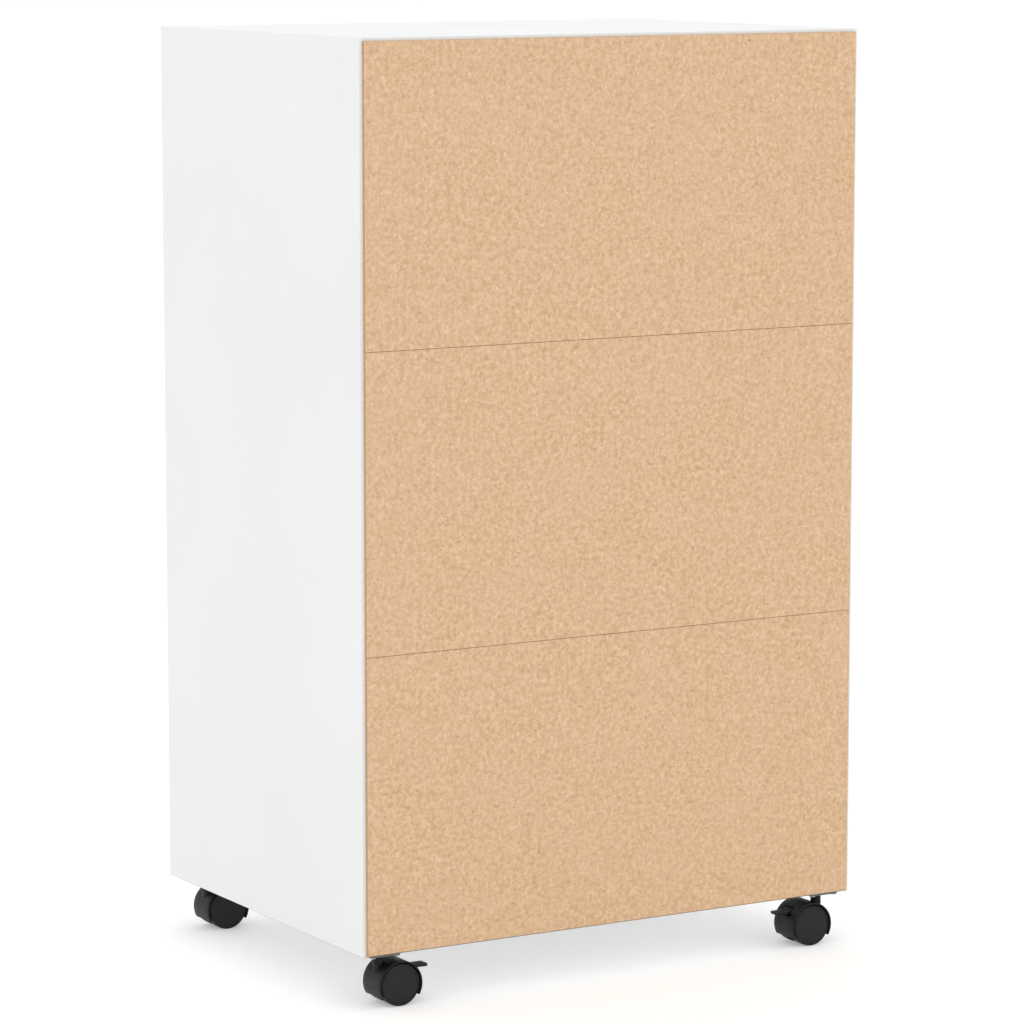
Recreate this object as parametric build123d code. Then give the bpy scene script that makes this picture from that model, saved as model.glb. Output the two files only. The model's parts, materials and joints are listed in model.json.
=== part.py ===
"""Rolling pedestal cabinet: a white board carcass on four twin-wheel castors, with three drawers on slides.

Frame: millimetres, +Z up, drawer fronts facing -Y, floor at z = 0, origin under the bounding box's middle.
Left and right are as seen by a person who faces the drawers: left is -X, right is +X.
"""
from build123d import *
import os
from math import cos, radians, sin

os.makedirs("parts", exist_ok=True)

# ---------------------------------------------------------------- driving dimensions
WIDTH = 500.0            # over the side panels
DEPTH = 370.0            # side panel depth
BODY_HEIGHT = 776.0      # carcass without castors
CASTOR_HEIGHT = 47.0     # floor to the underside of the carcass
BOARD = 15.0             # thickness of the carcass boards and the drawer fronts
EDGE_ROUND = 0.6         # softened edges of the edge-banded boards
DRAWER_COUNT = 3
FRONT_GAP = 3.0          # gap round the inset drawer fronts

BACK_THICKNESS = 3.0
BACK_SIDE_MARGIN = 3.6   # the back boards stop this far inside the side panels' outer faces
BACK_TOP_MARGIN = 2.8    # this far below the top
BACK_FOOT_MARGIN = 0.8   # and this far above the underside
BACK_FOLD_GAP = 0.25     # between one back board and the next

BOX_BOARD = 12.0         # drawer sides and backs
BOX_HEIGHT = 170.0
BOX_DEPTH = 325.0
BOX_RAISE = 24.0         # box bottom edge above the front's bottom edge
BOTTOM_BOARD = 3.0
GROOVE_DEPTH = 6.0
GROOVE_RAISE = 12.0      # groove above the box's bottom edge
FIT = 0.1                # clearance of a board in its groove and of a fastener in its hole

RAIL_GAP = 12.5          # between the carcass side and the drawer side
RAIL_STEEL = 1.2
RAIL_LENGTH = 300.0
RAIL_SETBACK = 3.0       # rail's front end behind the drawer front
ROLLER_RADIUS = 9.4
ROLLER_PIN_RADIUS = 2.5
ROLLER_CLEARANCE = 0.1
ROLLER_WIDTH = 6.6
ROLLER_PIN_LENGTH = 8.1
ROLLER_PIN_HEAD = 0.7
FRONT_ROLLER_INSET = 14.0
REAR_ROLLER_INSET = 11.0

HANDLE_CENTRES = 128.0
HANDLE_REACH = 28.0      # over the front's face
HANDLE_RADIUS = 5.0
HANDLE_BEND = 12.0

CASTOR_SIDE_INSET = 24.0   # swivel axis inside the carcass's outer faces
CASTOR_FRONT_INSET = 28.5
CASTOR_REAR_INSET = 16.5
CASTOR_TRAIL = 14.0      # wheel axis behind the swivel axis
WHEEL_RADIUS = 18.6
HOOD_OUTER = 20.9
HOOD_INNER = 19.5
HOOD_WIDTH = 30.2
HOOD_SKIRT = 8.0         # the hood's lower edge above the floor
WEB_WIDTH = 10.0         # the middle wall between the two wheels
PLATE_SIDE = 30.0
PLATE_THICKNESS = 1.6
PLATE_HOLE_OFFSET = 11.5

# ---------------------------------------------------------------- derived places
half_w = WIDTH / 2
inner_x = half_w - BOARD
total_height = CASTOR_HEIGHT + BODY_HEIGHT
y_low = -(DEPTH + BACK_THICKNESS + HANDLE_REACH) / 2
y_front = y_low + HANDLE_REACH
y_rear = y_front + DEPTH
y_back_face = y_rear + BACK_THICKNESS
z_floor_board = CASTOR_HEIGHT + BOARD
z_top_board = total_height - BOARD
front_height = (z_top_board - z_floor_board - (DRAWER_COUNT + 1) * FRONT_GAP) / DRAWER_COUNT
front_half_w = inner_x - FRONT_GAP
box_x = inner_x - RAIL_GAP
y_box_front = y_front + BOARD
y_box_rear = y_box_front + BOX_DEPTH
y_rail_front = y_box_front + RAIL_SETBACK
y_rail_rear = y_rail_front + RAIL_LENGTH
DRAWER_NAMES = ["bottom", "middle", "top"]
SIDES = {"left": -1, "right": 1}


# ---------------------------------------------------------------- small builders
def block(x0, x1, y0, y1, z0, z1):
    """A plain box between two corners, given in either order."""
    size = (abs(x1 - x0), abs(y1 - y0), abs(z1 - z0))
    return Pos((x0 + x1) / 2, (y0 + y1) / 2, (z0 + z1) / 2) * Box(*size)


def board(x0, x1, y0, y1, z0, z1, rounding=EDGE_ROUND):
    """A board whose edges are softened all round."""
    plain = block(x0, x1, y0, y1, z0, z1)
    return fillet(plain.edges(), rounding)


def rod(radius, start, direction, length):
    """A cylinder that starts at a point and runs along a direction."""
    base = Cylinder(radius, length, align=(Align.CENTER, Align.CENTER, Align.MIN))
    return Plane(origin=start, z_dir=direction) * base


def along(start, direction, distance):
    """The point a distance from start along a unit direction."""
    return tuple(s + d * distance for s, d in zip(start, direction))


def screw(start, direction, length, radius, head_radius, head_height):
    """A pan-head screw: start is where the head's seat meets the shank, direction is the way it is driven."""
    back = tuple(-d for d in direction)
    head = rod(head_radius, start, back, head_height)
    head = chamfer(head.edges().sort_by(lambda e: Vector(*direction).dot(e.center()))[0], head_height * 0.4)
    drive = rod(head_radius * 0.35, along(start, back, head_height), direction, head_height * 0.5)
    return head - drive + rod(radius, start, direction, length)


def pilot(start, direction, length, radius):
    """The hole a shank goes into, a little wider and deeper than the shank."""
    return rod(radius + FIT / 2, start, direction, length + 1.0)


def drilled(solid, holes):
    """The solid with a list of holes cut out of it."""
    for hole in holes:
        solid = solid - hole
    return solid


def save(name, shapes):
    """Writes one node. Several shapes stay separate solids in one compound."""
    shapes = shapes if isinstance(shapes, list) else [shapes]
    solids = [s for shape in shapes for s in shape.solids()]
    export_step(solids[0] if len(solids) == 1 else Compound(solids), f"parts/{name}.step")


# ---------------------------------------------------------------- cam fittings
CAM_SHANK_RADIUS = 3.5


def cam_set(corner, pull, face, cam_radius, cam_depth, board_depth, reach=34.0, thread=11.0):
    """A cam lock and its bolt.

    corner: where the bolt crosses from one board into the other; pull: unit direction from the bolted board
    to the cam's board; face: unit direction from the bolt's axis out of the face that the cam is turned from;
    board_depth: from the bolt's axis to that face.
    Returns (cam, bolt, cuts for the cam's board, cuts for the bolt's board).
    """
    centre = along(corner, pull, reach)
    mouth = along(centre, face, board_depth)
    inward = tuple(-f for f in face)
    push = tuple(-p for p in pull)
    bolt = (rod(2.9, corner, push, thread)
            + rod(CAM_SHANK_RADIUS, corner, pull, 3.0)
            + rod(2.2, corner, pull, reach - 4.0)
            + rod(CAM_SHANK_RADIUS, along(corner, pull, reach - 6.0), pull, 6.0))
    room = rod(CAM_SHANK_RADIUS + 0.4, corner, pull, reach + 1.0)
    cam = rod(cam_radius - FIT, mouth, inward, cam_depth)
    cam = cam - rod(CAM_SHANK_RADIUS + 0.3, corner, pull, reach + 0.6)
    turn_slot = Plane(origin=mouth, z_dir=inward) * Box(cam_radius, 1.6, 3.0)
    cam = cam - turn_slot
    pocket = rod(cam_radius, mouth, inward, cam_depth + 0.3)
    return cam, bolt, [room, pocket], [pilot(corner, push, thread, 2.9)]


# ---------------------------------------------------------------- carcass
CAM_FROM_EDGE = 60.0
BACK_PIN_RADIUS = 0.7
BACK_PIN_LENGTH = 15.0
BACK_PIN_HEAD = 0.95
CASTOR_SCREW = dict(length=11.0, radius=1.6, head_radius=2.8, head_height=1.2)
RAIL_SCREW = dict(length=10.5, radius=1.6, head_radius=3.0, head_height=1.4)


def drawer_base(index):
    """Height of a drawer front's bottom edge."""
    return z_floor_board + FRONT_GAP + index * (front_height + FRONT_GAP)


def rail_base(index):
    """Height of a cabinet rail's underside."""
    return drawer_base(index) + BOX_RAISE - 3.0


def castor_places():
    """Name, swivel axis place, and turn about Z of each castor; all four trail towards the middle."""
    for depth_name, y in (("front", y_front + CASTOR_FRONT_INSET), ("rear", y_rear - CASTOR_REAR_INSET)):
        for side_name, side in SIDES.items():
            yield f"{depth_name}_{side_name}", side * (half_w - CASTOR_SIDE_INSET), y, 0 if side < 0 else 180


def plate_holes():
    """Centres of the plate's four screw holes, about the swivel axis."""
    for sx in (-1, 1):
        for sy in (-1, 1):
            yield sx * PLATE_HOLE_OFFSET, sy * PLATE_HOLE_OFFSET


def back_rows():
    """Bottom and top height of each back board, lowest first."""
    low, high = CASTOR_HEIGHT + BACK_FOOT_MARGIN, total_height - BACK_TOP_MARGIN
    step = (high - low - 2 * BACK_FOLD_GAP) / 3
    return [(low + i * (step + BACK_FOLD_GAP), low + i * (step + BACK_FOLD_GAP) + step) for i in range(3)]


def back_pin_places():
    """(x, z) of every pin: three up each side of each back board, five along the top and the bottom board."""
    for z0, z1 in back_rows():
        for share in (0.12, 0.5, 0.88):
            for side in SIDES.values():
                yield side * (half_w - BOARD / 2), z0 + share * (z1 - z0)
    for z in (CASTOR_HEIGHT + BOARD / 2, total_height - BOARD / 2):
        for i in range(5):
            yield (i - 2) * WIDTH / 6, z


def build_carcass():
    cuts = {name: [] for name in ("left", "right", "top", "bottom")}
    fittings = []
    top_row = ("top", z_top_board + BOARD / 2, (0, 0, -1))
    bottom_row = ("bottom", CASTOR_HEIGHT + BOARD / 2, (0, 0, 1))
    for name, z, face in (top_row, bottom_row):
        for side_name, side in SIDES.items():
            for y in (y_front + CAM_FROM_EDGE, y_rear - CAM_FROM_EDGE):
                corner = (side * inner_x, y, z)
                cam, bolt, cam_cuts, bolt_cuts = cam_set(corner, (-side, 0, 0), face, 7.5, 12.0, BOARD / 2)
                fittings += [cam, bolt]
                cuts[name] += cam_cuts
                cuts[side_name] += bolt_cuts
            dowel_start = (side * (inner_x + 10), (y_front + y_rear) / 2, z)
            fittings.append(rod(4.0, dowel_start, (-side, 0, 0), 30.0))
            dowel_radius = 4.0 + FIT / 2
            side_mouth = (side * (inner_x - 1), dowel_start[1], z)
            board_mouth = (side * (inner_x + 1), dowel_start[1], z)
            cuts[side_name].append(rod(dowel_radius, side_mouth, (side, 0, 0), 12.0))
            cuts[name].append(rod(dowel_radius, board_mouth, (-side, 0, 0), 22.0))
    for index in range(DRAWER_COUNT):
        for side_name, side in SIDES.items():
            for start in cabinet_rail_screws(index, side):
                fittings.append(screw(start, (side, 0, 0), **RAIL_SCREW))
                cuts[side_name].append(pilot(start, (side, 0, 0), RAIL_SCREW["length"], RAIL_SCREW["radius"]))
    save("carcass_fittings", fittings)

    for _, x, y, _ in castor_places():
        side_name = "left" if x < 0 else "right"
        for dx, dy in plate_holes():
            mouth = (x + dx, y + dy, CASTOR_HEIGHT)
            hole = pilot(mouth, (0, 0, 1), CASTOR_SCREW["length"], CASTOR_SCREW["radius"])
            cuts[side_name if abs(x + dx) > inner_x else "bottom"].append(hole)

    pins, pin_holes = [], []
    for x, z in back_pin_places():
        start = (x, y_back_face, z)
        head = rod(BACK_PIN_HEAD, start, (0, -1, 0), 0.5)
        pins.append(rod(BACK_PIN_RADIUS, start, (0, -1, 0), BACK_PIN_LENGTH) + head)
        hole = rod(BACK_PIN_RADIUS + 0.05, along(start, (0, 1, 0), 1), (0, -1, 0), BACK_PIN_LENGTH + 2)
        pin_holes.append(hole + rod(BACK_PIN_HEAD + 0.05, along(start, (0, 1, 0), 1), (0, -1, 0), 1.55))
        if abs(x) > inner_x:
            cuts["left" if x < 0 else "right"].append(hole)
        else:
            cuts["top" if z > z_top_board else "bottom"].append(hole)
    save("back_board_pins", pins)

    for side_name, side in SIDES.items():
        panel = board(side * inner_x, side * half_w, y_front, y_rear, CASTOR_HEIGHT, total_height)
        save(f"side_panel_{side_name}", drilled(panel, cuts[side_name]))
    for name, z in (("bottom", CASTOR_HEIGHT), ("top", z_top_board)):
        panel = board(-inner_x, inner_x, y_front, y_rear, z, z + BOARD)
        save(f"{name}_panel", drilled(panel, cuts[name]))

    edge = half_w - BACK_SIDE_MARGIN
    for name, (z0, z1) in zip(("bottom", "middle", "top"), back_rows()):
        sheet = board(-edge, edge, y_rear, y_back_face, z0, z1, 0.25)
        near = [h for h in pin_holes if z0 < h.center().Z < z1]
        save(f"back_board_{name}", drilled(sheet, near))


# ---------------------------------------------------------------- roller slides
def rail_solid(points, y0, y1):
    """A bent-steel profile: outline points in (x, z), extruded along the depth."""
    outline = Plane.XZ * make_face(Polyline(*points, close=True))
    solid = extrude(outline, y1 - y0, dir=(0, 1, 0))
    return Pos(0, y0, 0) * solid


def cabinet_rail_screws(index, side):
    """Where the three screws of a cabinet rail meet its web's inner face."""
    z = rail_base(index) + RAIL_STEEL + ROLLER_RADIUS
    x = side * (inner_x - RAIL_STEEL)
    return [(x, y_rail_front + share * RAIL_LENGTH, z) for share in (0.14, 0.5, 0.86)]


def roller_height(index):
    """Height of the axis that the front and the rear rollers of a drawer share."""
    return rail_base(index) + RAIL_STEEL + ROLLER_CLEARANCE + ROLLER_RADIUS


def roller_pin(start, direction):
    """A headed pin that carries a roller, standing out of a rail's web."""
    head_start = along(start, direction, ROLLER_PIN_LENGTH - ROLLER_PIN_HEAD)
    head = rod(4.2, head_start, direction, ROLLER_PIN_HEAD)
    return rod(ROLLER_PIN_RADIUS, start, direction, ROLLER_PIN_LENGTH) + head


def cabinet_rail(index, side):
    """A C channel on the carcass side, with the front roller's pin and a stop at the rear end."""
    z0 = rail_base(index)
    z1 = z0 + 2 * ROLLER_RADIUS + 5.6
    wall, lip, t = side * inner_x, side * (inner_x - RAIL_GAP + 2.5), side * RAIL_STEEL
    z0_in, z1_in = z0 + RAIL_STEEL, z1 - RAIL_STEEL
    points = [(wall, z0), (lip, z0), (lip, z0_in), (wall - t, z0_in)]
    points += [(wall - t, z1_in), (lip, z1_in), (lip, z1), (wall, z1)]
    rail = rail_solid(points, y_rail_front, y_rail_rear)
    stop = block(wall, lip, y_rail_rear - RAIL_STEEL, y_rail_rear, z0, z1)
    pin_start = (wall - t, y_rail_front + FRONT_ROLLER_INSET, roller_height(index))
    inward = (-side, 0, 0)
    pin = roller_pin(pin_start, inward)
    rail = rail + stop + pin
    hole_radius = RAIL_SCREW["radius"] + FIT
    places = cabinet_rail_screws(index, side)
    holes = [rod(hole_radius, along(place, inward, 1), (side, 0, 0), 4) for place in places]
    return drilled(rail, holes)


def drawer_rail_screws(index, side):
    """Where the two screws of a drawer rail meet its web's outer face."""
    z = rail_base(index) + 9.0
    x = side * (box_x + RAIL_STEEL)
    return [(x, y_rail_front + share * RAIL_LENGTH, z) for share in (0.2, 0.75)]


def drawer_rail(index, side):
    """A Z profile round the drawer side's lower edge, with the rear roller's pin."""
    z_edge = drawer_base(index) + BOX_RAISE
    z_flange = roller_height(index) + ROLLER_RADIUS + ROLLER_CLEARANCE
    web, t = side * box_x, side * RAIL_STEEL
    out, under = side * (inner_x - 2.4), side * (box_x - 10.0)
    z_under, z_upper = z_edge - RAIL_STEEL, z_flange + RAIL_STEEL
    points = [(web + t, z_under), (under, z_under), (under, z_edge), (web, z_edge)]
    points += [(web, z_upper), (out, z_upper), (out, z_flange), (web + t, z_flange)]
    rail = rail_solid(points, y_rail_front, y_rail_rear - 2 * RAIL_STEEL)
    outward = (side, 0, 0)
    pin_start = (web + t, y_rail_rear - REAR_ROLLER_INSET, roller_height(index))
    pin = roller_pin(pin_start, outward)
    rail = rail + pin
    hole_radius = RAIL_SCREW["radius"] + FIT
    places = drawer_rail_screws(index, side)
    holes = [rod(hole_radius, along(place, outward, 1), (-side, 0, 0), 4) for place in places]
    return drilled(rail, holes)


def roller(web_x, direction, y, z):
    """A nylon roller on a pin that stands out of a web along X. It clears the web and the pin's head."""
    start = (web_x + direction * 0.4, y, z)
    outward = (direction, 0, 0)
    wheel = rod(ROLLER_RADIUS, start, outward, ROLLER_WIDTH)
    wheel = chamfer(wheel.edges(), 0.8)
    face = along(start, outward, ROLLER_WIDTH - 0.8)
    hub_face = rod(ROLLER_PIN_RADIUS + 2.2, face, outward, 1.0)
    ring_room = rod(ROLLER_RADIUS - 1.8, face, outward, 1.0) - hub_face
    return wheel - ring_room - rod(ROLLER_PIN_RADIUS + 0.08, start, outward, ROLLER_WIDTH)


def build_slides():
    rails = []
    for index, name in enumerate(DRAWER_NAMES):
        z = roller_height(index)
        front_rollers, rear_rollers, drawer_rails = [], [], []
        for side in SIDES.values():
            rails.append(cabinet_rail(index, side))
            drawer_rails.append(drawer_rail(index, side))
            cabinet_web, drawer_web = side * (inner_x - RAIL_STEEL), side * (box_x + RAIL_STEEL)
            front_rollers.append(roller(cabinet_web, -side, y_rail_front + FRONT_ROLLER_INSET, z))
            rear_rollers.append(roller(drawer_web, side, y_rail_rear - REAR_ROLLER_INSET, z))
        save(f"drawer_{name}_rails", drawer_rails)
        save(f"drawer_{name}_rear_rollers", rear_rollers)
        save(f"cabinet_{name}_front_rollers", front_rollers)
    save("cabinet_rails", rails)


# ---------------------------------------------------------------- drawers
HANDLE_SCREW = dict(length=24.0, radius=2.0, head_radius=4.0, head_height=2.4)
BOX_SCREW = dict(length=32.0, radius=1.9, head_radius=3.6, head_height=1.6)
BOX_CAM_RADIUS = 6.0
BOX_CAM_DEPTH = 9.5


def build_handle(z):
    """A bent round-bar handle, with a threaded hole in each foot."""
    half = HANDLE_CENTRES / 2
    reach = y_front - HANDLE_REACH + HANDLE_RADIUS
    corners = [(-half, y_front, z), (-half, reach, z), (half, reach, z), (half, y_front, z)]
    path = FilletPolyline(*corners, radius=HANDLE_BEND)
    section = Plane(origin=corners[0], z_dir=(0, -1, 0)) * Circle(HANDLE_RADIUS)
    bar = sweep(section, path=path)
    holes = [rod(HANDLE_SCREW["radius"] + FIT, (s * half, y_front + 1, z), (0, -1, 0), 12.0) for s in (-1, 1)]
    return drilled(bar, holes)


def build_drawer(index, name):
    z0 = drawer_base(index)
    z_mid = z0 + front_height / 2
    z_box, z_box_top = z0 + BOX_RAISE, z0 + BOX_RAISE + BOX_HEIGHT
    z_groove = z_box + GROOVE_RAISE
    fasteners = []
    front = board(-front_half_w, front_half_w, y_front, y_box_front, z0, z0 + front_height)
    front_cuts, side_cuts = [], {"left": [], "right": []}

    for sign in (-1, 1):
        seat = (sign * HANDLE_CENTRES / 2, y_box_front, z_mid)
        fasteners.append(screw(seat, (0, -1, 0), **HANDLE_SCREW))
        front_cuts.append(rod(HANDLE_SCREW["radius"] + FIT, along(seat, (0, 1, 0), 1), (0, -1, 0), BOARD + 2))

    inner_face = box_x - BOX_BOARD
    tuck = GROOVE_DEPTH - 2 * FIT
    groove_height = BOTTOM_BOARD + 2 * FIT
    z_groove_top = z_groove + groove_height
    groove_floor = inner_face + GROOVE_DEPTH
    y_groove_front = y_box_front - GROOVE_DEPTH
    groove_depth = (y_groove_front, y_box_front + 1)
    front_cuts.append(block(-groove_floor, groove_floor, *groove_depth, z_groove, z_groove_top))
    for side_name, side in SIDES.items():
        for z in (z_box + 50.0, z_box_top - 30.0):
            corner = (side * (box_x - BOX_BOARD / 2), y_box_front, z)
            sizes = (BOX_CAM_RADIUS, BOX_CAM_DEPTH, BOX_BOARD / 2, 24.0, 9.0)
            cam, bolt, cam_cuts, bolt_cuts = cam_set(corner, (0, 1, 0), (side, 0, 0), *sizes)
            fasteners += [cam, bolt]
            side_cuts[side_name] += cam_cuts
            front_cuts += bolt_cuts
        x_groove = (side * inner_face, side * groove_floor)
        side_cuts[side_name].append(block(*x_groove, y_box_front - 1, y_box_rear + 1, z_groove, z_groove_top))
        for start in drawer_rail_screws(index, side):
            fasteners.append(screw(start, (-side, 0, 0), **RAIL_SCREW))
            hole = pilot(start, (-side, 0, 0), RAIL_SCREW["length"], RAIL_SCREW["radius"])
            side_cuts[side_name].append(hole)

    z_back = z_groove_top
    back_cuts = []
    for side_name, side in SIDES.items():
        for z in (z_back + 25.0, z_box_top - 25.0):
            seat = (side * box_x, y_box_rear - BOX_BOARD / 2, z)
            fasteners.append(screw(seat, (-side, 0, 0), **BOX_SCREW))
            mouth = along(seat, (side, 0, 0), 1)
            hole = pilot(mouth, (-side, 0, 0), BOX_SCREW["length"] + 1, BOX_SCREW["radius"])
            side_cuts[side_name].append(hole)
            back_cuts.append(hole)

    save(f"drawer_{name}_front", drilled(front, front_cuts))
    for side_name, side in SIDES.items():
        wall = board(side * inner_face, side * box_x, y_box_front, y_box_rear, z_box, z_box_top, 0.4)
        save(f"drawer_{name}_side_{side_name}", drilled(wall, side_cuts[side_name]))
    back = board(-inner_face, inner_face, y_box_rear - BOX_BOARD, y_box_rear, z_back, z_box_top, 0.4)
    save(f"drawer_{name}_back", drilled(back, back_cuts))
    base = block(-inner_face - tuck, inner_face + tuck, y_box_front - tuck, y_box_rear, z_groove + FIT,
                 z_groove + FIT + BOTTOM_BOARD)
    save(f"drawer_{name}_base", base)
    save(f"drawer_{name}_handle", build_handle(z_mid))
    save(f"drawer_{name}_fasteners", fasteners)


# ---------------------------------------------------------------- castors (swivel axis at x = 0, trailing to +X)
AXLE_RADIUS = 2.5
AXLE_LENGTH = 25.6
STEM_RADIUS = 3.0
STEM_FOOT = 17.0         # stem's lower end above the floor
NECK_RADIUS = 4.65
PIVOT = (CASTOR_TRAIL + 8.0, WHEEL_RADIUS + 10.5)
PIVOT_RADIUS = 1.3
SHOE = dict(low=32.0, high=47.0, inner=WHEEL_RADIUS + 0.9, outer=21.0, half_width=7.2)
SHOE_WINDOW = dict(low=26.0, high=51.0)
PEDAL_TIP = CASTOR_TRAIL + 31.5
PEDAL_THICKNESS = 2.6
PEDAL_HALF_WIDTH = 6.2
CLIP_HEIGHT = 21.0       # middle of the ring that keeps the stem in its socket
CLIP_INNER = 2.4
CLIP_OUTER = 3.6
CLIP_THICKNESS = 1.0


def wheel_axis_rod(radius, half_width, x=CASTOR_TRAIL, z=WHEEL_RADIUS):
    """A cylinder across the castor, centred on its middle plane."""
    return rod(radius, (x, -half_width, z), (0, 1, 0), 2 * half_width)


def ring_sector(inner, outer, low, high, half_width):
    """Part of a ring about the wheel axis, between two angles above the horizontal."""
    def at(r, a):
        return (CASTOR_TRAIL + r * cos(radians(a)), WHEEL_RADIUS + r * sin(radians(a)))
    middle = (low + high) / 2
    outline = [ThreePointArc(at(outer, low), at(outer, middle), at(outer, high)),
               Line(at(outer, high), at(inner, high)),
               ThreePointArc(at(inner, high), at(inner, middle), at(inner, low)),
               Line(at(inner, low), at(outer, low))]
    face = Plane.XZ * make_face(outline)
    return extrude(face, half_width, both=True)


def castor_plate():
    """The steel plate and the stem riveted into it."""
    top, under = CASTOR_HEIGHT, CASTOR_HEIGHT - PLATE_THICKNESS
    plate = block(-PLATE_SIDE / 2, PLATE_SIDE / 2, -PLATE_SIDE / 2, PLATE_SIDE / 2, under, top)
    plate = fillet(plate.edges().filter_by(Axis.Z), 4.0)
    hole_radius = CASTOR_SCREW["radius"] + 0.3
    holes = [rod(hole_radius, (x, y, under - 1), (0, 0, 1), PLATE_THICKNESS + 2) for x, y in plate_holes()]
    stem = rod(STEM_RADIUS, (0, 0, STEM_FOOT), (0, 0, 1), under - STEM_FOOT + 1)
    stem = chamfer(stem.edges().sort_by(Axis.Z)[0], 0.8)
    rivet = rod(NECK_RADIUS - 0.6, (0, 0, under - 0.6), (0, 0, 1), 0.7)
    groove = stem_ring(CLIP_INNER, STEM_RADIUS + 1, CLIP_THICKNESS + 0.1)
    return drilled(plate, holes) + (stem - groove) + rivet


def stem_ring(inner, outer, thickness):
    """A flat ring about the stem at the clip's height."""
    start = (0, 0, CLIP_HEIGHT - thickness / 2)
    return rod(outer, start, (0, 0, 1), thickness) - rod(inner, start, (0, 0, 1), thickness)


def stem_clip():
    """The open spring ring that snaps into the stem's groove."""
    mouth = block(0, CLIP_OUTER + 1, -1.6, 1.6, CLIP_HEIGHT - 2, CLIP_HEIGHT + 2)
    return stem_ring(CLIP_INNER, CLIP_OUTER, CLIP_THICKNESS) - mouth


def castor_body(braked):
    """The hood over both wheels, the wall between them, and the socket that turns on the stem."""
    half = HOOD_WIDTH / 2
    hood = wheel_axis_rod(HOOD_OUTER, half)
    hood = fillet(hood.edges(), 0.7)
    hood = hood - wheel_axis_rod(HOOD_INNER, half + 1)
    web = wheel_axis_rod((HOOD_INNER + HOOD_OUTER) / 2, WEB_WIDTH / 2)
    skirt_cut = block(-40, 60, -half - 1, half + 1, -5, HOOD_SKIRT)
    neck_top = CASTOR_HEIGHT - PLATE_THICKNESS - 1.0
    neck_foot = STEM_FOOT - 3.0
    neck = rod(NECK_RADIUS, (0, 0, neck_foot), (0, 0, 1), neck_top - neck_foot)
    body = (hood + web - skirt_cut) + neck
    body = body - rod(STEM_RADIUS + 0.1, (0, 0, STEM_FOOT - 0.5), (0, 0, 1), CASTOR_HEIGHT)
    body = body - stem_ring(0.5, CLIP_OUTER + 0.3, CLIP_THICKNESS + 0.8)
    body = body - wheel_axis_rod(AXLE_RADIUS, half)
    if braked:
        window_half = SHOE["half_width"] + 0.5
        window = ring_sector(WHEEL_RADIUS - 0.4, HOOD_OUTER + 2, **SHOE_WINDOW, half_width=window_half)
        slot = block(PIVOT[0] - 4.5, CASTOR_TRAIL + 30, -2.4, 2.4, PIVOT[1] - 6.5, WHEEL_RADIUS + 16.6)
        body = body - window - slot
        body = body - wheel_axis_rod(PIVOT_RADIUS + 0.1, WEB_WIDTH / 2 + 0.1, *PIVOT)
    return body


def castor_wheel(side):
    """One wheel: a dished disc with a tread rim and a hub, closed on its outer face."""
    inner_v, outer_v = WEB_WIDTH / 2 + 0.4, HOOD_WIDTH / 2
    face, rim, hub = 2.0, 3.0, 2.6
    start = (CASTOR_TRAIL, side * outer_v, WHEEL_RADIUS)
    inward = (0, -side, 0)
    wheel = rod(WHEEL_RADIUS, start, inward, outer_v - inner_v)
    wheel = fillet(wheel.edges(), 1.2)
    behind_face = along(start, inward, face)
    hub_rod = rod(AXLE_RADIUS + hub, behind_face, inward, 20)
    hollow = rod(WHEEL_RADIUS - rim, behind_face, inward, 20) - hub_rod
    recess = rod(WHEEL_RADIUS - 2.2, start, inward, 0.3)
    bore = rod(AXLE_RADIUS + 0.08, behind_face, inward, 20)
    return wheel - hollow - recess - bore


def brake_lever():
    """The pedal, the shoe over both treads, and the arm that turns on two trunnions in the wall."""
    shoe = ring_sector(SHOE["inner"], SHOE["outer"], SHOE["low"], SHOE["high"], SHOE["half_width"])
    arm_tip = CASTOR_TRAIL + 17.5
    arm = block(PIVOT[0], arm_tip, -2.0, 2.0, PIVOT[1] - 1.4, PIVOT[1] + 3.2)
    trunnions = wheel_axis_rod(PIVOT_RADIUS, WEB_WIDTH / 2 - 0.2, *PIVOT)
    arm = arm + wheel_axis_rod(2.8, 2.0, *PIVOT) + trunnions
    top = PIVOT[1] + 3.0
    pedal_root = CASTOR_TRAIL + 16.5
    pedal = block(pedal_root, PEDAL_TIP, -PEDAL_HALF_WIDTH, PEDAL_HALF_WIDTH, top - PEDAL_THICKNESS, top)
    pedal = fillet(pedal.edges().filter_by(Axis.Z).sort_by(Axis.X)[-2:], 1.8)
    pedal = fillet(pedal.edges().group_by(Axis.Z)[-1], 0.6)
    return shoe + arm + pedal


def build_castors():
    plates, screws = [], []
    for name, x, y, turn in castor_places():
        place = Location((x, y, 0), (0, 0, turn))
        braked = name.startswith("rear")
        plates += [place * castor_plate(), place * stem_clip()]
        for dx, dy in plate_holes():
            seat = (x + dx, y + dy, CASTOR_HEIGHT - PLATE_THICKNESS)
            screws.append(screw(seat, (0, 0, 1), **CASTOR_SCREW))
        save(f"castor_{name}_body", place * castor_body(braked))
        save(f"castor_{name}_axle", place * wheel_axis_rod(AXLE_RADIUS, AXLE_LENGTH / 2))
        for wheel_name, side in (("a", -1), ("b", 1)):
            save(f"castor_{name}_wheel_{wheel_name}", place * castor_wheel(side))
        if braked:
            save(f"castor_{name}_brake", place * brake_lever())
    save("castor_plates", plates)
    save("castor_screws", screws)


build_carcass()
build_slides()
for drawer_index, drawer_name in enumerate(DRAWER_NAMES):
    build_drawer(drawer_index, drawer_name)
build_castors()
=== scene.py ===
import bpy
import bmesh
import json
import math
from mathutils import Matrix, Vector

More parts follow.
